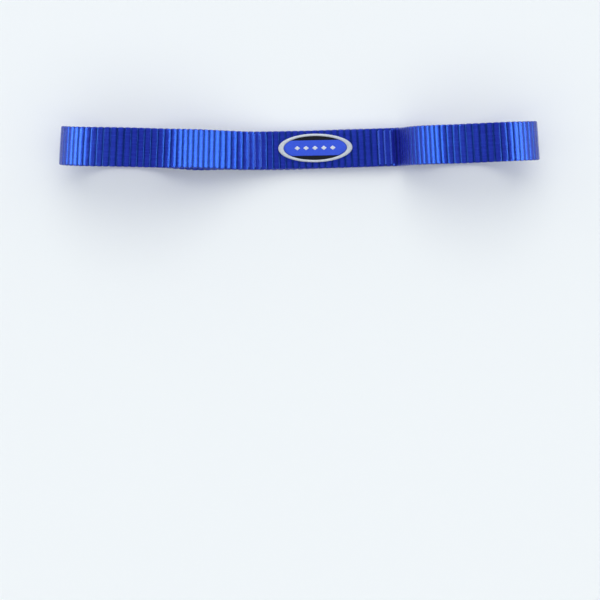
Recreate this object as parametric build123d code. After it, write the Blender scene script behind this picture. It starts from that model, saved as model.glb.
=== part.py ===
from build123d import *

import os
from math import atan2, copysign, cos, hypot, pi, sin, tan

# A closed loop of ribbed one-inch webbing with a sewn-on oval label, lying on the back of the loop.
# The loop is one strip whose two tails overlap: the outer tail lies on the inner tail and bar tacks
# sew them together. Both ends of the loop stand up as open eyes.
# Millimetres. X runs along the loop, Y across the webbing, and Z up from the surface it lies on.
# The webbing flexes, so it is made in spans that meet at hinge lines, with a small gap at each line.

# Webbing
WEB_WIDTH = 25.4
WEB_THICK = 2.6
LAYER_PITCH = 2.7
BAND_REACH = 60.0

# Lie of the strip: corners (x, z, bend radius) of its centre line, from the outer tail's cut end,
# down the left eye, along the table, up the right eye and under the outer tail to the inner tail's end.
BACK_Z = WEB_THICK / 2
INNER_Z = BACK_Z + WEB_THICK + 0.4
OUTER_Z = INNER_Z + LAYER_PITCH
LEFT_CREST_Z = 58.7
RIGHT_CREST_Z = 58.2
APEX_X = 152.7
ROUTE = [
    (61.9, 7.1, 0),
    (59.8, OUTER_Z, 12.0),
    (-16.0, OUTER_Z, 70.0),
    (-48.0, 22.5, 90.0),
    (-82.0, 51.0, 60.0),
    (-108.0, LEFT_CREST_Z, 40.0),
    (-133.0, LEFT_CREST_Z, 45.0),
    (-APEX_X, 39.2, 22.0),
    (-APEX_X, 20.8, 22.0),
    (-133.0, BACK_Z, 34.0),
    (-98.0, BACK_Z, 60.0),
    (-76.0, 10.2, 44.0),
    (-15.0, BACK_Z, 150.0),
    (66.0, BACK_Z, 60.0),
    (81.5, 4.5, 42.0),
    (97.0, BACK_Z, 60.0),
    (122.0, BACK_Z, 40.0),
    (APEX_X, 23.6, 14.7),
    (APEX_X, 39.5, 20.0),
    (134.0, RIGHT_CREST_Z, 34.0),
    (111.0, RIGHT_CREST_Z, 38.0),
    (89.5, 48.3, 45.0),
    (72.8, 30.0, 40.0),
    (65.3, INNER_Z, 6.0),
    (-16.6, INNER_Z, 72.7),
    (-39.4, 15.3, 0),
]

# Spans of the strip: name, and where each starts and ends along the centre line, from the outer
# tail's cut end. The places between two spans are the hinge lines.
SEAM_HINGE = 13.0
SEAM_HINGE_INNER = 722.6
OPEN_PIVOT = 703.0
SPANS = [
    ("outer_tail_end", 0.0, SEAM_HINGE),
    ("outer_tail", SEAM_HINGE, 108.5),
    ("left_eye_top", 108.5, 258.0),
    ("left_eye_heel", 258.0, 293.0),
    ("back_left_outer", 293.0, 328.0),
    ("back_left_inner", 328.0, 363.0),
    ("back_middle", 363.0, 470.0),
    ("back_right", 470.0, 545.0),
    ("right_eye_heel", 545.0, 585.0),
    ("right_eye_apex", 585.0, 640.0),
    ("right_front_slope", 640.0, OPEN_PIVOT),
    ("inner_tail_bend", OPEN_PIVOT, SEAM_HINGE_INNER),
    ("inner_tail", SEAM_HINGE_INNER, None),
]
HINGE_GAP = 1.2
SEAM_GAP = 1.5
PIVOT_GAP = 1.5

# Bow of the loop seen from above: it is straight near BOW_START and bends towards +Y at both ends
BOW = 0.0027
BOW_START = -32.0
BOW_POWER = 1.5
EDGE_STEP = 44.0

# Oval label on the outer tail
LABEL_X = 10.5
LABEL_OFFSET_Y = 1.0
LABEL_LENGTH = 48.7
LABEL_WIDTH = 18.5
LABEL_REACH = (22.0, 90.0)
BORDER_END = 3.5
BORDER_SIDE = 1.5
BACKING_THICK = 0.5
FIELD_THICK = 0.45
BORDER_THICK = 0.8
INLAY_WIDTH = 10.0
INLAY_THICK = 0.2
DIAMOND_LENGTH = 3.8
DIAMOND_WIDTH = 2.8
DIAMOND_PITCH = 5.8
DIAMOND_THICK = 0.15
STITCH_COUNT = 44
STITCH_LENGTH = 2.0
STITCH_WIDTH = 0.45
STITCH_THICK = 0.2
CLEAR = 0.01

# Bar tacks, in rows across both tails. Each has needle thread on top and bobbin thread below.
TACK_LENGTH = 22.0
TACK_WIDTH = 1.6
TACK_THICK = 0.3
TACK_SEAT = 0.06
SEAM_TACKS = [1.9, 5.8, 9.7]
TAIL_TACKS = [87.9, 92.2, 96.5]


def heading(a, b):
    return atan2(b[1] - a[1], b[0] - a[0])


def laid_out(corners):
    """The route's straight runs and arcs in order: (length, start x, start z, heading, signed radius)."""
    runs = []
    start = corners[0][:2]
    for before, corner, after in zip(corners, corners[1:], corners[2:] + [None]):
        way = heading(before, corner)
        turn = 0.0
        if after:
            turn = (heading(corner, after) - way + pi) % (2 * pi) - pi
        back = corner[2] * tan(abs(turn) / 2)
        end = (corner[0] - back * cos(way), corner[1] - back * sin(way))
        runs.append((hypot(end[0] - start[0], end[1] - start[1]), *start, way, 0.0))
        if after:
            runs.append((corner[2] * abs(turn), *end, way, copysign(corner[2], turn)))
            onward = way + turn
            start = (corner[0] + back * cos(onward), corner[1] + back * sin(onward))
    return runs


RUNS = laid_out(ROUTE)
STRIP_LENGTH = sum(run[0] for run in RUNS)


def point_on(run, along, side):
    """The point at a distance along one run, and side millimetres out from the centre line."""
    length, x, z, way, radius = run
    if radius:
        turned = way + along / radius
        x += radius * (sin(turned) - sin(way))
        z += radius * (cos(way) - cos(turned))
    else:
        turned = way
        x += along * cos(way)
        z += along * sin(way)
    return (x + side * sin(turned), 0, z - side * cos(turned))


def place_at(along, side=0.0):
    """The point and heading at a distance along the whole strip."""
    for run in RUNS:
        if along <= run[0] or run is RUNS[-1]:
            break
        along -= run[0]
    turned = run[3] + (along / run[4] if run[4] else 0.0)
    return point_on(run, along, side), turned


def side_edges(start, end, side):
    """Edges of one face of the strip between two places along it."""
    edges = []
    passed = 0.0
    for run in RUNS:
        first = max(start - passed, 0.0)
        last = min(end - passed, run[0])
        if last - first > 1e-4:
            a = point_on(run, first, side)
            b = point_on(run, last, side)
            if run[4]:
                edges.append(ThreePointArc(a, point_on(run, (first + last) / 2, side), b))
            else:
                edges.append(Line(a, b))
        passed += run[0]
    return edges


def bow_at(x):
    return BOW * abs(x - BOW_START) ** BOW_POWER


BOW_MIDDLE = bow_at(APEX_X + WEB_THICK / 2) / 2


def band_middle(x):
    """Y of the webbing's middle at x, with the whole loop centred on Y = 0."""
    return bow_at(x) - BOW_MIDDLE


def band():
    """The space between the webbing's two edges, bowed in plan."""
    stations = [BOW_START + EDGE_STEP * i for i in range(-3, 6)]
    lower = Spline([(x, band_middle(x) - WEB_WIDTH / 2) for x in stations])
    upper = Spline([(x, band_middle(x) + WEB_WIDTH / 2) for x in stations])
    left = Line(lower @ 0, upper @ 0)
    right = Line(lower @ 1, upper @ 1)
    plan = make_face([lower, upper, left, right])
    return extrude(plan, BAND_REACH + 10)


BAND = band().moved(Location((0, 0, -5)))


def gap_at(along):
    """Half of the gap that the strip leaves at a place, which is nothing at its two cut ends."""
    if along in (0.0, STRIP_LENGTH):
        return 0.0
    if along in (SEAM_HINGE, SEAM_HINGE_INNER):
        return SEAM_GAP / 2
    if along == OPEN_PIVOT:
        return PIVOT_GAP / 2
    return HINGE_GAP / 2


def layer(first, last, low, high):
    """A layer that follows the strip between two places, low to high out from its centre line."""
    faces = side_edges(first, last, low) + side_edges(first, last, high)
    ends = [Line(place_at(s, low)[0], place_at(s, high)[0]) for s in (first, last)]
    return extrude(make_face(faces + ends), WEB_WIDTH * 2, dir=(0, 1, 0), both=True)


def web_span(start, end):
    """One span of webbing, from hinge gap to hinge gap."""
    return layer(start + gap_at(start), end - gap_at(end), -WEB_THICK / 2, WEB_THICK / 2) & BAND


def on_label(outline, height, thick):
    """A label piece: an outline in plan, at a height over the outer tail, which it follows."""
    middle = Location((LABEL_X, band_middle(LABEL_X) + LABEL_OFFSET_Y, 0))
    low = WEB_THICK / 2 + height
    return extrude(outline, BAND_REACH).moved(middle) & layer(*LABEL_REACH, low, low + thick)


def oval(length, width):
    return Ellipse(length / 2, width / 2)


def label_backing():
    return on_label(oval(LABEL_LENGTH, LABEL_WIDTH), CLEAR, BACKING_THICK)


def label_border():
    ring = oval(LABEL_LENGTH, LABEL_WIDTH) - field_oval(0)
    return on_label(ring, BACKING_THICK + 2 * CLEAR, BORDER_THICK)


def field_oval(clear):
    """The oval inside the border, held clear of it."""
    length = LABEL_LENGTH - 2 * (BORDER_END + clear)
    width = LABEL_WIDTH - 2 * (BORDER_SIDE + clear)
    return oval(length, width)


def label_field():
    return on_label(field_oval(CLEAR), BACKING_THICK + 2 * CLEAR, FIELD_THICK)


def label_inlay():
    """The plain band across the field, from one end of the oval to the other."""
    height = BACKING_THICK + FIELD_THICK + 3 * CLEAR
    band_outline = field_oval(CLEAR) & Rectangle(LABEL_LENGTH, INLAY_WIDTH)
    return on_label(band_outline, height, INLAY_THICK)


def label_diamonds():
    height = BACKING_THICK + FIELD_THICK + INLAY_THICK + 4 * CLEAR
    corner_x = DIAMOND_LENGTH / 2
    corner_y = DIAMOND_WIDTH / 2
    corners = [(corner_x, 0), (0, corner_y), (-corner_x, 0), (0, -corner_y)]
    diamond = make_face(Polyline(*corners, close=True))
    row = Sketch() + [Pos(DIAMOND_PITCH * i, 0) * diamond for i in range(-2, 3)]
    return on_label(row, height, DIAMOND_THICK)


def label_stitches():
    """Short stitches along the border all the way round, which hold the label on."""
    height = BACKING_THICK + BORDER_THICK + 3 * CLEAR
    rim = oval(LABEL_LENGTH - BORDER_END, LABEL_WIDTH - BORDER_SIDE).edge()
    stitches = Sketch()
    for i in range(STITCH_COUNT):
        spot = rim.position_at(i / STITCH_COUNT)
        way = rim.tangent_at(i / STITCH_COUNT)
        turn = atan2(way.Y, way.X) * 180 / pi
        stitches += Location(spot, (0, 0, turn)) * SlotOverall(STITCH_LENGTH, STITCH_WIDTH)
    return on_label(stitches, height, STITCH_THICK)


def tack_bar(along, side):
    """One side of a bar tack, lying across the strip on one of its faces."""
    out = copysign(TACK_SEAT, side)
    (x, _, z), way = place_at(along, side + out)
    bar = extrude(SlotOverall(TACK_LENGTH, TACK_WIDTH, rotation=90), TACK_THICK)
    flip = 0 if side > 0 else 180
    return bar.moved(Location((x, band_middle(x), z), (0, 180 - way * 180 / pi + flip, 0)))


def bar_tack(along):
    """Needle thread on the outer tail's top, and bobbin thread under the inner tail."""
    over = tack_bar(along, WEB_THICK / 2)
    under = tack_bar(along, -WEB_THICK / 2 - LAYER_PITCH)
    return Compound(children=[over, under])


def parts():
    made = {}
    for name, start, end in SPANS:
        made[name] = web_span(start, STRIP_LENGTH if end is None else end)
    made["label_backing"] = label_backing()
    made["label_border"] = label_border()
    made["label_field"] = label_field()
    made["label_inlay"] = label_inlay()
    made["label_diamonds"] = label_diamonds()
    made["label_stitches"] = label_stitches()
    for i, along in enumerate(SEAM_TACKS):
        made[f"seam_bar_tack_{i + 1}"] = bar_tack(along)
    for i, along in enumerate(TAIL_TACKS):
        made[f"tail_bar_tack_{i + 1}"] = bar_tack(along)
    return made


os.makedirs("parts", exist_ok=True)
for name, shape in parts().items():
    export_step(shape, f"parts/{name}.step")
print(f"strip {STRIP_LENGTH:.1f} mm long")
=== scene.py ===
from math import atan2, copysign, cos, hypot, pi, radians, sin, tan

import bpy
import numpy as np
from mathutils import Matrix, Vector


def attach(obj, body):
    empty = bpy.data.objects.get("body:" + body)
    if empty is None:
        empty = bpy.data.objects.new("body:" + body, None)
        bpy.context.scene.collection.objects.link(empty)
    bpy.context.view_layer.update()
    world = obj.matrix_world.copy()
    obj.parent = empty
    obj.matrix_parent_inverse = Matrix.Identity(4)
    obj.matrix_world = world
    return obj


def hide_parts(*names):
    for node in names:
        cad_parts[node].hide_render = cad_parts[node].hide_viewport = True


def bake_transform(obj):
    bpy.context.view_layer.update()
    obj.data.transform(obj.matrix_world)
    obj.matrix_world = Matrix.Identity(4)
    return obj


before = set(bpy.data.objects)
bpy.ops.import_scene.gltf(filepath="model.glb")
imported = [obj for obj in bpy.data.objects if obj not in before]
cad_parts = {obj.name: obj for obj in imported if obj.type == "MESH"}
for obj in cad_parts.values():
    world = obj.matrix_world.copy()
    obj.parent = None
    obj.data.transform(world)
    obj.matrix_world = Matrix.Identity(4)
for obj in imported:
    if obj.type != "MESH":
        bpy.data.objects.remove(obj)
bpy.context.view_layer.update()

MM = 0.001

# The loop is one strip of ribbed webbing. Its centre line is the CAD model's route: corners
# (x, z, bend radius) from the outer tail's cut end round to the inner tail's end. Millimetres.
WEB_WIDTH = 25.4
WEB_THICK = 2.6
LAYER_PITCH = 2.7
BACK_Z = WEB_THICK / 2
INNER_Z = BACK_Z + WEB_THICK + 0.4
OUTER_Z = INNER_Z + LAYER_PITCH
LEFT_CREST_Z = 58.7
RIGHT_CREST_Z = 58.2
APEX_X = 152.7
ROUTE = [
    (61.9, 7.1, 0),
    (59.8, OUTER_Z, 12.0),
    (-16.0, OUTER_Z, 70.0),
    (-48.0, 22.5, 90.0),
    (-82.0, 51.0, 60.0),
    (-108.0, LEFT_CREST_Z, 40.0),
    (-133.0, LEFT_CREST_Z, 45.0),
    (-APEX_X, 39.2, 22.0),
    (-APEX_X, 20.8, 22.0),
    (-133.0, BACK_Z, 34.0),
    (-98.0, BACK_Z, 60.0),
    (-76.0, 10.2, 44.0),
    (-15.0, BACK_Z, 150.0),
    (66.0, BACK_Z, 60.0),
    (81.5, 4.5, 42.0),
    (97.0, BACK_Z, 60.0),
    (122.0, BACK_Z, 40.0),
    (APEX_X, 23.6, 14.7),
    (APEX_X, 39.5, 20.0),
    (134.0, RIGHT_CREST_Z, 34.0),
    (111.0, RIGHT_CREST_Z, 38.0),
    (89.5, 48.3, 45.0),
    (72.8, 30.0, 40.0),
    (65.3, INNER_Z, 6.0),
    (-16.6, INNER_Z, 72.7),
    (-39.4, 15.3, 0),
]
SMOOTH_REACH = 4.0
BOW = 0.0027
BOW_START = -32.0
BOW_POWER = 1.5
SKEW = 1.4

# The strip doesn't keep quite to the bow. It sways all along (size, length, lag), strays here and
# there (size, place, reach), and lies a little to one side from the inner tail on.
SWAYS = [
    (0.16, 23.0, 0.0),
    (0.11, 9.7, 1.0),
]
STRAYS = [
    (0.95, 138.0, 48.0),
    (-0.7, 345.0, 13.0),
    (0.7, 665.0, 35.0),
]
TAIL_STRAY = 0.05
TAIL_STRAY_START = 705.0
TAIL_STRAY_REACH = 5.0

# Ribs run across the strip. Each is a row of warp floats that arch over a weft bundle.
RIB_PITCH = 4.3
FIRST_GROOVE = 1.9
GROOVE_HALF_THICK = 0.97
CREST_HALF_THICK = 1.28
RIB_ROUNDNESS = 0.55
RIB_ROWS = [0.0, 0.04, 0.11, 0.25, 0.5, 0.75, 0.89, 0.96]
RIB_WAVES = [(0.10, 12.9898), (0.06, 4.1)]
RIB_LEAST = 0.8
CLEAR_OF_CUT = 0.12
YARN_WIDTH = 0.85
LAST_YARN_STEP = 0.4

# The strip's section: flat faces between rounded selvedges, which are drawn in at every groove.
# The faces cup towards the inside of the loop, more in some places than in others.
FLAT_STEPS = 30
EDGE_TURNS = [62, 34, 8, -18, -46, -72]
EDGE_REACH = 1.0
EDGE_ROUNDNESS = 0.8
SCALLOP = 0.34
CUP = 0.06
CUP_LENGTH = 31.0

# How much narrower than its nominal width the strip is on either side: everywhere, and where the
# label and the tacks draw it together
EDGE_SHORT = 0.15
SEWN_SHORT = 0.12
SEWN_REACH = 45.0

# Both ends are cut with a hot knife, which melts them thinner and presses their outer face down
SEAL_REACH = 1.3
SEAL_ROUNDNESS = 0.6
SEALED_THICK = 0.65
SEALED_SHORT = 0.35
SEAL_PRESS = 0.95

# Webbing pieces: name, bend that it crosses, where it ends, and the CAD spans that it stands for
WEB_PIECES = [
    ("web_outer_tail", "seam", 62.0, ["outer_tail_end", "outer_tail"]),
    ("web_left_front", "overlap", 183.0, ["outer_tail", "left_eye_top"]),
    ("web_left_apex", "left_heel", 275.5, ["left_eye_top", "left_eye_heel"]),
    ("web_left_heel", "left_toe", 310.5, ["left_eye_heel", "back_left_outer"]),
    ("web_back_left", "back_left", 345.5, ["back_left_outer", "back_left_inner"]),
    ("web_back_middle", "left_root", 420.0, ["back_left_inner", "back_middle"]),
    ("web_back_right", "right_root", 507.5, ["back_middle", "back_right"]),
    ("web_right_toe", "right_toe", 565.0, ["back_right", "right_eye_heel"]),
    ("web_right_apex", "right_heel", 612.5, ["right_eye_heel", "right_eye_apex"]),
    ("web_right_front", "right_crest", 703.0, ["right_eye_apex", "right_front_slope"]),
    ("web_inner_tail", "inner_seam", None, ["inner_tail_bend", "inner_tail"]),
]

# The front slope and the inner tail part by a slit in a groove, so that they don't meet as the
# loop opens
OPEN_PIECE = "web_right_front"
PIVOT_SLIT = 0.3

# Label, in its own plan: a runs towards +X and b towards +Y from its middle
LABEL_ALONG = 51.5
LABEL_ACROSS = 1.0
LABEL_A = 24.35
LABEL_B = 9.25
BORDER_END = 3.5
BORDER_SIDE = 1.5
INLAY_HALF = 5.0
DIAMOND_A = 1.9
DIAMOND_B = 1.4
DIAMOND_PITCH = 5.8
DIAMOND_SIDE_STEPS = 6

# How far each cloth's outline stays inside the outline that the border gives it
BACKING_MARGIN = 0.25
FIELD_MARGIN = 0.02
INLAY_MARGIN = 0.1

# Bottom and top of each label cloth over the webbing's crests
BACKING_LEVELS = (-0.25, 0.42)
FIELD_LEVELS = (0.44, 0.9)
INLAY_LEVELS = (0.9, 1.12)
DIAMOND_LEVELS = (1.1, 1.22)
DIAMOND_CROWN = 0.14

# Section of the border's satin stitching: share of the border's width from outside in, and height
BORDER_PROFILE = [
    (0.0, 0.02), (-0.02, 0.45), (0.06, 0.85), (0.24, 1.16), (0.5, 1.30),
    (0.76, 1.20), (0.95, 0.95), (1.02, 0.6), (1.0, 0.45), (0.5, 0.43),
]
BORDER_STEPS = 960
BORDER_THREADS = 240
BORDER_RIPPLE = 0.05

# Short stitches that sew the label on, arched over the middle of its border
STITCH_COUNT = 44
STITCH_HALF = 0.95
STITCH_TOP = 1.30
STITCH_DIP = 0.16
STITCH_STEPS = 7
STITCH_RADIUS = 0.17

# Bar tacks: rows of zigzag thread across both tails
SEAM_TACKS = [1.9, 5.8, 9.7]
TAIL_TACKS = [87.9, 92.2, 96.5]
TACK_HALF = 11.0
TACK_STEP = 0.42
TACK_SWING = 0.62
TACK_RISE = 0.10
TACK_STRAY = 0.025
TACK_RISE_STRAY = 0.012
SEAM_TACK_SEAT = 1.30
TAIL_TACK_SEAT = 1.1
THREAD_RADIUS = 0.2

# A thread's radius at its first and last points, and at those next to them
THREAD_TIP = 0.35
THREAD_SHOULDER = 0.8

# Base colours and sheens, as linear red, green, blue
WEB_DARK = (0.012, 0.015, 0.29, 1)
WEB_LIGHT = (0.032, 0.044, 0.52, 1)
# Painted shade: the webbing's colour at the bottom of the rib grooves
WEB_GROOVE_SHADE = (0.001, 0.001, 0.03, 1)
# Painted shade: the webbing's colour in the gaps between the yarns
WEB_SHADE_BETWEEN_YARNS = (0.003, 0.006, 0.12, 1)
WEB_SHEEN = (0.02, 0.19, 1.0, 1)
# Thread colour with painted shade in the dips between its plies, and lit on the ply crests
THREAD_SHADED_DIP = (0.045, 0.080, 0.55, 1)
THREAD_LIT_CREST = (0.100, 0.170, 0.90, 1)
THREAD_SHEEN = (0.05, 0.25, 1.0, 1)
RIM_DARK = (0.56, 0.60, 0.66, 1)
RIM_LIGHT = (0.80, 0.84, 0.90, 1)
# Painted shade: the border's colour in the gaps between its threads
RIM_SHADE_BETWEEN_THREADS = (0.30, 0.33, 0.36, 1)
# Label cloths: dark and light ends of each colour, mixed by painted shade in the weave's dips and
# by uneven tone
BLACK_DARK = (0.003, 0.004, 0.009, 1)
BLACK_LIGHT = (0.011, 0.013, 0.024, 1)
BAND_DARK = (0.03, 0.07, 0.60, 1)
BAND_LIGHT = (0.05, 0.115, 0.85, 1)
BAND_SHEEN = (0.3, 0.5, 1.0, 1)
WHITE_DARK = (0.56, 0.61, 0.68, 1)
WHITE_LIGHT = (0.82, 0.86, 0.92, 1)
FLOOR_DARK = (0.905, 0.93, 0.945, 1)
FLOOR_LIGHT = (0.915, 0.94, 0.955, 1)

# Studio and camera, in metres, watts and degrees. Suns: name, tilt towards +Y, strength, width of
# the light in radians, and colour. Sky: height as a share, and colour or tone.
SUNS = [
    ("key", 35, 0.79, 0.75, (1.0, 0.985, 0.90)),
    ("fill", 24, 2.03, 2.6, (0.95, 0.98, 1.0)),
]
SKY_LOW = (0.10, (0.84, 0.90, 0.94, 1))
SKY_MIDDLE = (0.26, (0.11, 0.12, 0.14, 1))
SKY_HIGH = [(0.84, 0.11), (0.96, 0.42)]
FLOOR_HALF = 4.0
PANEL_X = 1.3
PANEL_Y = 0.1
PANEL_Z = 0.36
PANEL_SIZE = (2.4, 0.44)
PANEL_POWER = 38.0
PANEL_COLOUR = (0.93, 0.98, 1.0)
CAMERA_PLACE = (0.0006, 0.0, 1.6)
CAMERA_TILT = -3.63
CAMERA_LENS = 146.0


# ---------------------------------------------------------------- the strip's lie

def heading(a, b):
    return atan2(b[1] - a[1], b[0] - a[0])


def laid_out(corners):
    """Straight runs and arcs in order: (length, start x, start z, heading, signed radius)."""
    runs = []
    start = corners[0][:2]
    for before, corner, after in zip(corners, corners[1:], corners[2:] + [None]):
        way = heading(before, corner)
        turn = 0.0
        if after:
            turn = (heading(corner, after) - way + pi) % (2 * pi) - pi
        back = corner[2] * tan(abs(turn) / 2)
        end = (corner[0] - back * cos(way), corner[1] - back * sin(way))
        runs.append((hypot(end[0] - start[0], end[1] - start[1]), *start, way, 0.0))
        if after:
            runs.append((corner[2] * abs(turn), *end, way, copysign(corner[2], turn)))
            onward = way + turn
            start = (corner[0] + back * cos(onward), corner[1] + back * sin(onward))
    return runs


RUNS = laid_out(ROUTE)
STRIP_LENGTH = sum(run[0] for run in RUNS)


def place_at(along):
    """Centre line point at a distance along the strip; past either end it carries straight on."""
    for run in RUNS:
        if along <= run[0] or run is RUNS[-1]:
            break
        along -= run[0]
    length, x, z, way, radius = run
    if not radius:
        return x + along * cos(way), z + along * sin(way)
    turned = way + along / radius
    return x + radius * (sin(turned) - sin(way)), z + radius * (cos(way) - cos(turned))


GRID_STEP = 0.25
GRID_REACH = 20.0


def centre_line():
    """Fine samples of the centre line, eased where runs meet arcs: place, x, z, and heading."""
    count = int((STRIP_LENGTH + 2 * GRID_REACH) / GRID_STEP)
    s = -GRID_REACH + GRID_STEP * np.arange(count)
    x, z = np.array([place_at(v) for v in s]).T
    half = int(SMOOTH_REACH / GRID_STEP)
    window = np.hanning(2 * half + 3)[1:-1]
    window = window / window.sum()
    ease = [np.convolve(np.pad(line, half, mode="edge"), window, mode="valid") for line in (x, z)]
    keep = slice(2 * half, -2 * half)
    s, x, z = s[keep], ease[0][keep], ease[1][keep]
    way = np.unwrap(np.arctan2(np.gradient(z), np.gradient(x)))
    return s, x, z, way


LINE_S, LINE_X, LINE_Z, LINE_WAY = centre_line()


def bow_at(x):
    return BOW * np.abs(x - BOW_START) ** BOW_POWER


BOW_MIDDLE = float(bow_at(APEX_X + WEB_THICK / 2)) / 2


def bow_slope(x):
    return BOW * BOW_POWER * np.abs(x - BOW_START) ** (BOW_POWER - 1) * np.sign(x - BOW_START)


def wander(s):
    """How far the strip lies sideways of its bow, in millimetres."""
    sideways = sum(size * np.sin(s / length + lag) for size, length, lag in SWAYS)
    for size, middle, reach in STRAYS:
        sideways = sideways + size * np.exp(-((s - middle) / reach) ** 2)
    return sideways + TAIL_STRAY / (1 + np.exp(-(s - TAIL_STRAY_START) / TAIL_STRAY_REACH))


def strip_points(s, v, out):
    """Points on the strip in metres: s along it, v across it, and out from its centre line."""
    s, v, out = np.broadcast_arrays(*(np.asarray(q, float) for q in (s, v, out)))
    x = np.interp(s, LINE_S, LINE_X)
    z = np.interp(s, LINE_S, LINE_Z)
    way = np.interp(s, LINE_S, LINE_WAY)
    x = x + out * np.sin(way)
    z = z - out * np.cos(way)
    y = bow_at(x) - BOW_MIDDLE + v + wander(s)
    x = x - SKEW * bow_slope(x) * v
    return np.stack([x, y, z], axis=-1) * MM


# ---------------------------------------------------------------- meshes

def mesh_object(name, points, faces, uv=None, smooth=True, flat_faces=0):
    """A new mesh object with a UV pair for each face corner. Its last flat_faces stay flat."""
    mesh = bpy.data.meshes.new(name)
    mesh.from_pydata(points.reshape(-1, 3).tolist(), [], faces)
    if uv is not None:
        layer = mesh.uv_layers.new(name="strip")
        layer.data.foreach_set("uv", np.asarray(uv, np.float32).ravel())
    if smooth:
        mesh.polygons.foreach_set("use_smooth", [True] * len(mesh.polygons))
    rims = {key for face in mesh.polygons[len(faces) - flat_faces:] for key in face.edge_keys}
    for edge in mesh.edges:
        if edge.key in rims:
            edge.use_edge_sharp = True
    mesh.validate()
    mesh.update()
    piece = bpy.data.objects.new(name, mesh)
    bpy.context.scene.collection.objects.link(piece)
    return piece


def tube_faces(rows, around, ring=False):
    """Quads between rows of a tube, closed round its section, and end to end if it is a ring."""
    quads = []
    for i in range(rows if ring else rows - 1):
        near, far = i * around, (i + 1) % rows * around
        for j in range(around):
            k = (j + 1) % around
            quads.append((near + j, far + j, far + k, near + k))
    return quads


def tube_uv(along, around):
    """UV pairs for the quads of tube_faces, from the values at its rows and round its section."""
    uv = []
    for near, far in zip(along, along[1:]):
        for left, right in zip(around, around[1:]):
            uv += [(near, left), (far, left), (far, right), (near, right)]
    return uv


def end_caps(rows, around):
    last = (rows - 1) * around
    return [tuple(range(around)), tuple(range(last + around - 1, last - 1, -1))]


def running_total(steps):
    return np.concatenate([[0], np.cumsum(steps)])


def groove_near(along):
    """The rib groove nearest to a place, so that two pieces meet unseen at the bottom of it."""
    return FIRST_GROOVE + RIB_PITCH * round((along - FIRST_GROOVE) / RIB_PITCH)


def rib_rows(start, end):
    """Places of a piece's rings from start to end, closer together in the grooves."""
    first = int(np.floor((start - FIRST_GROOVE) / RIB_PITCH))
    last = int(np.ceil((end - FIRST_GROOVE) / RIB_PITCH))
    ribs = range(first, last + 1)
    rows = [FIRST_GROOVE + RIB_PITCH * (k + part) for k in ribs for part in RIB_ROWS]
    inside = [s for s in rows if start + CLEAR_OF_CUT < s < end - CLEAR_OF_CUT]
    return np.array([start] + inside + [end])


def section():
    """Points round the section: share of its flat width, angle of its face, selvedge side."""
    flat = np.linspace(-1, 1, FLAT_STEPS)
    level = np.zeros(FLAT_STEPS)
    turn = np.radians(EDGE_TURNS)
    edge = np.ones(len(turn))
    across = np.concatenate([flat, edge, flat[::-1], -edge])
    angle = np.concatenate([level + pi / 2, turn, level - pi / 2, turn[::-1]])
    side = np.concatenate([level, edge, level, -edge])
    return across, angle, side


def rib_shape(s):
    """Half the thickness and half the width of the webbing at places along it.

    Waves out of step with the ribs make each rib a little different from the next.
    """
    phase = (s - FIRST_GROOVE) / RIB_PITCH
    hump = np.abs(np.sin(pi * phase)) ** RIB_ROUNDNESS
    rib = np.floor(phase)
    uneven = 1.0
    for size, pace in RIB_WAVES:
        uneven = uneven + size * np.sin(rib * pace)
    rise = CREST_HALF_THICK - GROOVE_HALF_THICK
    half = GROOVE_HALF_THICK + rise * hump * np.clip(uneven, RIB_LEAST, 1.0)
    selvedge = WEB_WIDTH / 2 - EDGE_SHORT - SCALLOP * (1 - hump) * uneven
    selvedge = selvedge - SEWN_SHORT / (1 + ((s - LABEL_ALONG) / SEWN_REACH) ** 4)
    return half, selvedge


def web_section(s):
    """The section at each place along the strip: across it, and out from its centre line."""
    half, selvedge = rib_shape(s)
    from_cut = np.minimum(s, STRIP_LENGTH - s)
    whole = np.clip(from_cut / SEAL_REACH, 0, 1) ** SEAL_ROUNDNESS
    half = half * (SEALED_THICK + (1 - SEALED_THICK) * whole)
    selvedge = selvedge - SEALED_SHORT * (1 - whole)
    across, angle, side = section()
    flat_half = selvedge[:, None] - EDGE_REACH
    bulge = side[None, :] * EDGE_REACH * np.cos(angle)[None, :] ** EDGE_ROUNDNESS
    v = across[None, :] * flat_half + bulge
    press = (1 - whole)[:, None] * np.clip(np.sin(angle), 0, 1)[None, :]
    out = half[:, None] * (np.sin(angle)[None, :] - SEAL_PRESS * press)
    return v, out


def web_mesh(name, start, end):
    """A length of ribbed webbing between two places, closed, with scalloped selvedges."""
    s = rib_rows(start, end)
    v, out = web_section(s)
    cup = -CUP * (1 + np.sin(s / CUP_LENGTH))[:, None] * (v / (WEB_WIDTH / 2)) ** 2
    points = strip_points(s[:, None], v, out + cup)
    rows, around = v.shape
    phase = (s - FIRST_GROOVE) / RIB_PITCH
    middle = rows // 2
    girth = running_total(np.hypot(np.diff(v[middle]), np.diff(out[middle]))) / YARN_WIDTH
    closing = girth[-1] + LAST_YARN_STEP / YARN_WIDTH
    caps = end_caps(rows, around)
    uv = tube_uv(phase, np.append(girth, closing))
    for cap, place in zip(caps, (phase[0], phase[-1])):
        uv += [(place, girth[k % around]) for k in cap]
    return mesh_object(name, points, tube_faces(rows, around) + caps, uv, flat_faces=2)


# ---------------------------------------------------------------- node materials

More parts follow.
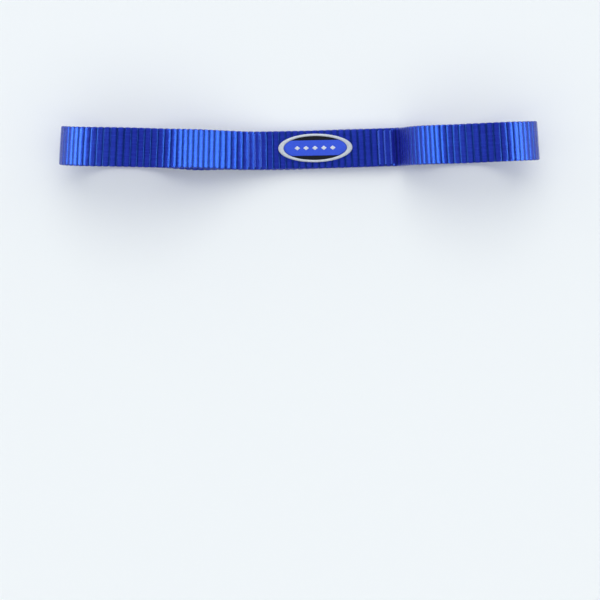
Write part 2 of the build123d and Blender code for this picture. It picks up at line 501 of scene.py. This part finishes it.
class Nodes:
    """A short way to build a node material on a Principled shader."""

    def __init__(self, name):
        self.material = bpy.data.materials.new(name)
        self.material.use_nodes = True
        self.tree = self.material.node_tree
        self.shader = self.tree.nodes["Principled BSDF"]

    def node(self, kind, **values):
        made = self.tree.nodes.new(kind)
        for key, value in values.items():
            setattr(made, key, value)
        return made

    def link(self, value, socket):
        if isinstance(value, (int, float, tuple)):
            socket.default_value = value
        else:
            self.tree.links.new(value, socket)

    def math(self, operation, a, b=0.0):
        made = self.node("ShaderNodeMath", operation=operation)
        self.link(a, made.inputs[0])
        self.link(b, made.inputs[1])
        return made.outputs[0]

    def add(self, a, b):
        return self.math("ADD", a, b)

    def times(self, a, b):
        return self.math("MULTIPLY", a, b)

    def wave(self, value):
        """Humps from 0 to 1, one for every unit of the value."""
        return self.math("ABSOLUTE", self.math("SINE", self.times(value, pi)))

    def ramp(self, value, low, high, to_low=0.0, to_high=1.0):
        made = self.node("ShaderNodeMapRange", interpolation_type="SMOOTHSTEP")
        for given, socket in zip((value, low, high, to_low, to_high), made.inputs):
            self.link(given, socket)
        return made.outputs[0]

    def mix(self, factor, a, b):
        made = self.node("ShaderNodeMix", data_type="RGBA")
        self.link(factor, made.inputs[0])
        self.link(a, made.inputs[6])
        self.link(b, made.inputs[7])
        return made.outputs[2]

    def noise(self, scale):
        """Soft mottle that stays with the object at rest. The scale is per metre."""
        place = self.node("ShaderNodeTexCoord")
        made = self.node("ShaderNodeTexNoise")
        self.tree.links.new(place.outputs["Object"], made.inputs["Vector"])
        made.inputs["Scale"].default_value = scale
        made.inputs["Detail"].default_value = 2.0
        return made.outputs["Fac"]

    def random(self, x, y):
        combined = self.node("ShaderNodeCombineXYZ")
        self.link(x, combined.inputs[0])
        self.link(y, combined.inputs[1])
        made = self.node("ShaderNodeTexWhiteNoise", noise_dimensions="2D")
        self.tree.links.new(combined.outputs[0], made.inputs["Vector"])
        return made.outputs["Value"]

    def strip_uv(self):
        uv = self.node("ShaderNodeUVMap", uv_map="strip")
        split = self.node("ShaderNodeSeparateXYZ")
        self.tree.links.new(uv.outputs[0], split.inputs[0])
        return split.outputs[0], split.outputs[1]

    def bump(self, height, distance, strength):
        made = self.node("ShaderNodeBump")
        self.link(height, made.inputs["Height"])
        made.inputs["Distance"].default_value = distance
        made.inputs["Strength"].default_value = strength
        return made.outputs["Normal"]

    def finish(self, colour, roughness, normal, **constants):
        self.link(colour, self.shader.inputs["Base Color"])
        self.link(roughness, self.shader.inputs["Roughness"])
        self.tree.links.new(normal, self.shader.inputs["Normal"])
        for key, value in constants.items():
            self.shader.inputs[key.replace("_", " ")].default_value = value
        return self.material


def webbing_material():
    """Satin polyester: warp floats side by side over each rib, with painted shade where they dive
    down into the grooves and in the gaps between the yarns.
    """
    n = Nodes("webbing")
    rib, yarn = n.strip_uv()
    groove = n.ramp(n.wave(rib), 0.10, 0.85, 1.0, 0.0)
    yarn_round = n.math("POWER", n.wave(yarn), 0.6)
    yarn_random = n.random(n.math("FLOOR", yarn), n.math("FLOOR", rib))
    strands = n.add(n.times(n.math("FRACT", rib), 5.0), n.times(n.math("FRACT", yarn), 2.0))
    mottle = n.noise(900.0)
    patches = n.noise(60.0)
    shade = n.add(n.times(yarn_random, 0.30), n.times(mottle, 0.45))
    shade = n.add(shade, n.times(patches, 0.25))
    colour = n.mix(shade, WEB_DARK, WEB_LIGHT)
    # Painted shade darkens the colour in the rib grooves
    colour = n.mix(n.times(groove, 0.80), colour, WEB_GROOVE_SHADE)
    # Painted shade darkens the colour in the gaps between the yarns
    painted_gap_shade = n.times(n.math("SUBTRACT", 1.0, yarn_round), 0.45)
    colour = n.mix(painted_gap_shade, colour, WEB_SHADE_BETWEEN_YARNS)
    height = n.add(n.times(yarn_round, 0.75), n.times(n.wave(strands), 0.12))
    height = n.add(height, n.times(mottle, 0.25))
    roughness = n.add(0.15, n.times(shade, 0.12))
    roughness = n.add(roughness, n.times(groove, 0.12))
    normal = n.bump(height, 0.00017, 0.85)
    return n.finish(colour, roughness, normal, IOR=2.2, Specular_Tint=WEB_SHEEN)


def thread_material():
    """Twisted sewing thread, a little brighter than the webbing, with painted shade in the dips
    between its plies.
    """
    n = Nodes("thread")
    along, around = n.strip_uv()
    ply = n.wave(n.add(n.times(along, 2.2), around))
    fuzz = n.noise(1500.0)
    # Painted shade: the colour darkens in the dips between the plies and lightens on their crests
    colour = n.mix(ply, THREAD_SHADED_DIP, THREAD_LIT_CREST)
    roughness = n.add(0.32, n.times(fuzz, 0.2))
    normal = n.bump(ply, 0.00008, 0.7)
    return n.finish(colour, roughness, normal, IOR=2.4, Specular_Tint=THREAD_SHEEN)


def rim_material():
    """Pale satin border thread laid side by side round the label, with painted shade in the gaps
    between the threads.
    """
    n = Nodes("label_rim")
    along, _ = n.strip_uv()
    lay = n.wave(along)
    tone = n.noise(500.0)
    colour = n.mix(tone, RIM_DARK, RIM_LIGHT)
    # Painted shade darkens the colour in the gaps between the border threads
    painted_gap_shade = n.times(n.math("SUBTRACT", 1.0, lay), 0.5)
    colour = n.mix(painted_gap_shade, colour, RIM_SHADE_BETWEEN_THREADS)
    roughness = n.add(0.45, n.times(tone, 0.15))
    normal = n.bump(lay, 0.00007, 0.6)
    return n.finish(colour, roughness, normal, IOR=1.5)


def woven_material(name, dark, light, pitch, roughness, **constants):
    """A fine woven ground: threads over and under, pitch millimetres apart, darker where they dip
    (painted shade), and uneven in tone.
    """
    n = Nodes(name)
    a, b = n.strip_uv()
    warp = n.math("SINE", n.times(a, 2 * pi / pitch))
    weft = n.math("SINE", n.times(b, 2 * pi / pitch))
    weave = n.add(n.times(n.times(warp, weft), 0.5), 0.5)
    tone = n.noise(700.0)
    # Painted shade where the threads dip under; the noise is uneven tone of the cloth
    colour = n.mix(n.add(n.times(weave, 0.6), n.times(tone, 0.4)), dark, light)
    normal = n.bump(weave, 0.00006, 0.6)
    return n.finish(colour, n.add(roughness, n.times(tone, 0.15)), normal, **constants)


def label_cloth_materials():
    """The label's black ground, its blue band and its pale embroidery."""
    black = woven_material("label_black", BLACK_DARK, BLACK_LIGHT, 0.5, 0.7, IOR=1.3)
    blue = woven_material("label_blue", BAND_DARK, BAND_LIGHT, 0.42, 0.5, Specular_Tint=BAND_SHEEN)
    white = woven_material("label_white", WHITE_DARK, WHITE_LIGHT, 0.36, 0.45, IOR=1.5)
    return black, blue, white


def floor_material():
    n = Nodes("floor")
    colour = n.mix(n.noise(3.0), FLOOR_DARK, FLOOR_LIGHT)
    grain = n.noise(400.0)
    return n.finish(colour, 0.75, n.bump(grain, 0.00005, 0.1), Specular_IOR_Level=0.2)


# ---------------------------------------------------------------- webbing


def build_webbing(material):
    start = 0.0
    for name, bend, end, nodes in WEB_PIECES:
        end = STRIP_LENGTH if end is None else groove_near(end)
        piece = web_mesh(name, start, end)
        piece.data.materials.append(material)
        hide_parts(*nodes)
        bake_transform(piece)
        start = end + PIVOT_SLIT if name == OPEN_PIECE else end


# ---------------------------------------------------------------- label

def label_points(a, b, height):
    """Points on the label: a and b in its plan, and height over the webbing's crests."""
    s = LABEL_ALONG - np.asarray(a, float)
    v = LABEL_ACROSS + np.asarray(b, float)
    return strip_points(s, v, WEB_THICK / 2 + np.asarray(height, float))


def border_mesh(name):
    """The label's satin-stitched border: a ring whose outer edge ripples with its threads."""
    around = np.linspace(0, 2 * pi, BORDER_STEPS, endpoint=False)
    inset, rise = np.array(BORDER_PROFILE).T[:, None, :]
    ripple = BORDER_RIPPLE * np.sin(around * BORDER_THREADS)[:, None]
    a = (LABEL_A - BORDER_END * inset + ripple * (1 - inset)) * np.cos(around)[:, None]
    b = (LABEL_B - BORDER_SIDE * inset + ripple * (1 - inset)) * np.sin(around)[:, None]
    points = label_points(a, b, rise + 0.5 * ripple * (rise > 0.5))
    rows, wide = a.shape
    uv = tube_uv(np.arange(rows + 1) * BORDER_THREADS / rows, np.arange(wide + 1) / wide)
    return mesh_object(name, points, tube_faces(rows, wide, ring=True), uv)


def slab_faces(rows, count):
    """Faces of a slab: its rows as a tube, closed by fans to the two last points."""
    faces = tube_faces(rows, count)
    last = (rows - 1) * count
    top, bottom = rows * count, rows * count + 1
    for j in range(count):
        k = (j + 1) % count
        faces.append((top, j, k))
        faces.append((bottom, last + k, last + j))
    return faces


def slab_object(name, outline, levels, rings=10, crown=0.0):
    """A thin cloth inside a closed outline of (a, b), whose top and bottom follow the webbing."""
    low, high = levels
    edge = np.array(outline)
    middle = edge.mean(axis=0)
    shares = np.linspace(0, 1, rings)[1:]
    layers = [(share, high + crown * (1 - share ** 2)) for share in shares]
    layers += [(share, low) for share in shares[::-1]]
    plan = [middle + (edge - middle) * share for share, _ in layers] + [np.array([middle, middle])]
    height = [np.full(len(edge), level) for _, level in layers] + [np.array([high + crown, low])]
    a, b = np.concatenate(plan).T
    points = label_points(a, b, np.concatenate(height))
    faces = slab_faces(len(layers), len(edge))
    uv = [(a[i], b[i]) for face in faces for i in face]
    return mesh_object(name, points, faces, uv)


def oval_outline(a, b, count=120):
    turn = np.linspace(0, 2 * pi, count, endpoint=False)
    return np.stack([a * np.cos(turn), b * np.sin(turn)], axis=-1)


def band_outline(a, b, half, count=60, end_count=24):
    """The part of an oval between b = -half and b = +half."""
    along = np.linspace(1, -1, count) * a * np.sqrt(1 - (half / b) ** 2)
    end_b = half - 2 * half * np.linspace(0, 1, end_count)[1:-1]
    end_a = a * np.sqrt(1 - (end_b / b) ** 2)
    upper = np.stack([along, np.full(count, half)], axis=-1)
    left = np.stack([-end_a, end_b], axis=-1)
    return np.concatenate([upper, left, -upper, -left])


def diamond_outline(middle):
    """Points round one diamond, with a few on each side so that it can follow the webbing."""
    corners = np.array([(1, 0), (0, 1), (-1, 0), (0, -1)])
    sides = []
    for corner, after in zip(corners, np.roll(corners, -1, axis=0)):
        for share in np.linspace(0, 1, DIAMOND_SIDE_STEPS)[:-1]:
            a, b = corner + (after - corner) * share
            sides.append((DIAMOND_PITCH * middle + DIAMOND_A * a, DIAMOND_B * b))
    return sides


def join(pieces, name):
    """Join new mesh objects into one."""
    points = []
    faces = []
    uv = []
    for piece in pieces:
        mesh = piece.data
        base = len(points)
        points += [tuple(vertex.co) for vertex in mesh.vertices]
        faces += [tuple(base + v for v in polygon.vertices) for polygon in mesh.polygons]
        uv += [tuple(corner.uv) for corner in mesh.uv_layers["strip"].data]
    for piece in pieces:
        mesh = piece.data
        bpy.data.objects.remove(piece)
        bpy.data.meshes.remove(mesh)
    return mesh_object(name, np.array(points), faces, uv)


def thread_tube(name, path, radius, sides=8):
    """A round thread along a path of points in metres, with rounded ends."""
    path = np.asarray(path, float)
    count = len(path)
    way = np.gradient(path, axis=0)
    way /= np.linalg.norm(way, axis=1)[:, None]
    up = np.tile([0.0, 0.0, 1.0], (count, 1))
    side = np.cross(way, up)
    side /= np.linalg.norm(side, axis=1)[:, None]
    up = np.cross(side, way)
    size = np.full(count, radius)
    size[[0, -1]] = radius * THREAD_TIP
    size[[1, -2]] = radius * THREAD_SHOULDER
    turn = np.linspace(0, 2 * pi, sides, endpoint=False)
    cosine, sine = np.cos(turn)[None, :, None], np.sin(turn)[None, :, None]
    ring = side[:, None, :] * cosine + up[:, None, :] * sine
    points = path[:, None, :] + ring * size[:, None, None]
    travel = running_total(np.linalg.norm(np.diff(path, axis=0), axis=1)) / (4 * radius)
    uv = tube_uv(travel, np.arange(sides + 1) / sides)
    for end in (travel[0], travel[-1]):
        uv += [(end, k / sides) for k in range(sides)]
    return mesh_object(name, points, tube_faces(count, sides) + end_caps(count, sides), uv)


def label_stitches(turn_steps=721):
    """Short stitches along the middle of the border all the way round."""
    stitches = []
    a_mid = LABEL_A - BORDER_END / 2
    b_mid = LABEL_B - BORDER_SIDE / 2
    turn = np.linspace(0, 2 * pi, turn_steps)
    travel = running_total(np.hypot(np.diff(a_mid * np.cos(turn)), np.diff(b_mid * np.sin(turn))))
    reach = np.linspace(-STITCH_HALF, STITCH_HALF, STITCH_STEPS)
    arch = STITCH_TOP - STITCH_DIP * np.linspace(-1, 1, STITCH_STEPS) ** 2
    for i in range(STITCH_COUNT):
        places = np.interp(travel[-1] * i / STITCH_COUNT + reach, travel, turn)
        path = label_points(a_mid * np.cos(places), b_mid * np.sin(places), arch)
        stitches.append(thread_tube(f"stitch_{i}", path, STITCH_RADIUS * MM))
    return join(stitches, "label_thread")


def on_label(piece, material, node):
    piece.data.materials.append(material)
    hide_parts(node)
    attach(piece, "sewn_overlap")


def build_backing(black):
    """The oval of cloth that lies on the webbing."""
    oval = oval_outline(LABEL_A - BACKING_MARGIN, LABEL_B - BACKING_MARGIN)
    backing = slab_object("label_back_cloth", oval, BACKING_LEVELS)
    on_label(backing, black, "label_backing")


def build_field(black, blue):
    """The woven cloth inside the border, and the band across it."""
    inner_a, inner_b = LABEL_A - BORDER_END, LABEL_B - BORDER_SIDE
    oval = oval_outline(inner_a - FIELD_MARGIN, inner_b - FIELD_MARGIN)
    field = slab_object("label_field_cloth", oval, FIELD_LEVELS)
    on_label(field, black, "label_field")
    outline = band_outline(inner_a - INLAY_MARGIN, inner_b - INLAY_MARGIN, INLAY_HALF)
    inlay = slab_object("label_band_cloth", outline, INLAY_LEVELS)
    on_label(inlay, blue, "label_inlay")


def build_diamonds(white):
    """A row of five embroidered diamonds along the band."""
    diamonds = []
    for i in range(-2, 3):
        outline = diamond_outline(i)
        name = f"diamond_{i + 2}"
        diamonds.append(slab_object(name, outline, DIAMOND_LEVELS, rings=5, crown=DIAMOND_CROWN))
    on_label(join(diamonds, "label_diamond_row"), white, "label_diamonds")


def build_label():
    rim = rim_material()
    black, blue, white = label_cloth_materials()
    build_backing(black)
    on_label(border_mesh("label_rim_thread"), rim, "label_border")
    build_field(black, blue)
    build_diamonds(white)
    on_label(label_stitches(), rim, "label_stitches")


# ---------------------------------------------------------------- bar tacks

def tack_thread(along, out, down):
    """Zigzag thread across the strip at one face, a little uneven as sewn by machine."""
    count = int(2 * TACK_HALF / TACK_STEP)
    steps = 4 * count + 1
    rng = np.random.default_rng(int(along * 10) + (7 if down else 0))
    v = np.linspace(-TACK_HALF, TACK_HALF, steps)
    swing = np.arcsin(np.sin(np.linspace(0, pi * count, steps))) / (pi / 2)
    s = along + TACK_SWING * swing + rng.normal(0, TACK_STRAY, steps)
    rise = TACK_RISE * (1 - np.abs(swing)) + rng.normal(0, TACK_RISE_STRAY, steps)
    return strip_points(s, v, out + (-rise if down else rise))


def build_tack_rows(node, places, seat, body, material):
    """Rows of needle thread on top of both layers and bobbin thread below them."""
    for i, along in enumerate(places, 1):
        top = tack_thread(along, seat, False)
        low = tack_thread(along, -seat - LAYER_PITCH, True)
        threads = [
            thread_tube(f"{node}_{i}_top", top, THREAD_RADIUS * MM, 6),
            thread_tube(f"{node}_{i}_low", low, THREAD_RADIUS * MM, 6),
        ]
        piece = join(threads, f"{node.replace('bar_tack', 'zigzag')}_{i}")
        piece.data.materials.append(material)
        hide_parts(f"{node}_{i}")
        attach(piece, body)


def build_tacks(material):
    build_tack_rows("seam_bar_tack", SEAM_TACKS, SEAM_TACK_SEAT, "seam_end", material)
    build_tack_rows("tail_bar_tack", TAIL_TACKS, TAIL_TACK_SEAT, "sewn_overlap", material)


# ---------------------------------------------------------------- studio

def side_panel(name, x):
    """A low wide panel at one end that faces the strap and lights only its gloss."""
    data = bpy.data.lights.new(name, "AREA")
    data.shape = "RECTANGLE"
    data.size, data.size_y = PANEL_SIZE
    data.energy = PANEL_POWER
    data.color = PANEL_COLOUR
    lamp = bpy.data.objects.new(name, data)
    bpy.context.scene.collection.objects.link(lamp)
    turn = Vector((-x, 0, 0)).to_track_quat("-Z", "Y").to_matrix().to_4x4()
    lamp.matrix_world = Matrix.Translation((x, PANEL_Y, PANEL_Z)) @ turn
    lamp.visible_camera = False
    lamp.visible_diffuse = False


def soft_sun(name, tilt, energy, angle, colour):
    """A large far light, tilted from overhead towards +Y, that adds no gloss of its own."""
    data = bpy.data.lights.new(name, "SUN")
    data.energy = energy
    data.angle = angle
    data.color = colour
    lamp = bpy.data.objects.new(name, data)
    bpy.context.scene.collection.objects.link(lamp)
    lamp.rotation_euler = (radians(-tilt), 0, 0)
    lamp.visible_glossy = False


def build_studio():
    corners = FLOOR_HALF * np.array([(-1, -1, 0), (1, -1, 0), (1, 1, 0), (-1, 1, 0)])
    floor = mesh_object("floor", corners, [(0, 1, 2, 3)], smooth=False)
    floor.data.materials.append(floor_material())
    side_panel("left_panel", -PANEL_X)
    side_panel("right_panel", PANEL_X)
    for sun in SUNS:
        soft_sun(*sun)
    build_world()


def build_world():
    """A sky that is pale round the horizon, dark above that, and dim overhead."""
    world = bpy.data.worlds.new("studio")
    bpy.context.scene.world = world
    world.use_nodes = True
    tree = world.node_tree
    way = tree.nodes.new("ShaderNodeTexCoord")
    split = tree.nodes.new("ShaderNodeSeparateXYZ")
    ramp = tree.nodes.new("ShaderNodeValToRGB")
    stops = ramp.color_ramp.elements
    stops[0].position, stops[0].color = SKY_LOW
    stops[1].position, stops[1].color = SKY_MIDDLE
    for place, tone in SKY_HIGH:
        stop = stops.new(place)
        stop.color = (tone, tone * 1.04, tone * 1.15, 1)
    tree.links.new(way.outputs["Generated"], split.inputs[0])
    tree.links.new(split.outputs["Z"], ramp.inputs["Fac"])
    tree.links.new(ramp.outputs[0], tree.nodes["Background"].inputs[0])


def build_camera():
    data = bpy.data.cameras.new("camera")
    data.lens = CAMERA_LENS
    data.sensor_width = 36.0
    data.clip_end = 20.0
    camera = bpy.data.objects.new("camera", data)
    bpy.context.scene.collection.objects.link(camera)
    camera.location = CAMERA_PLACE
    camera.rotation_euler = (radians(CAMERA_TILT), 0, 0)
    bpy.context.scene.camera = camera
    bpy.context.scene.view_settings.view_transform = "Standard"


build_camera()
build_webbing(webbing_material())
build_label()
build_tacks(thread_material())
build_studio()
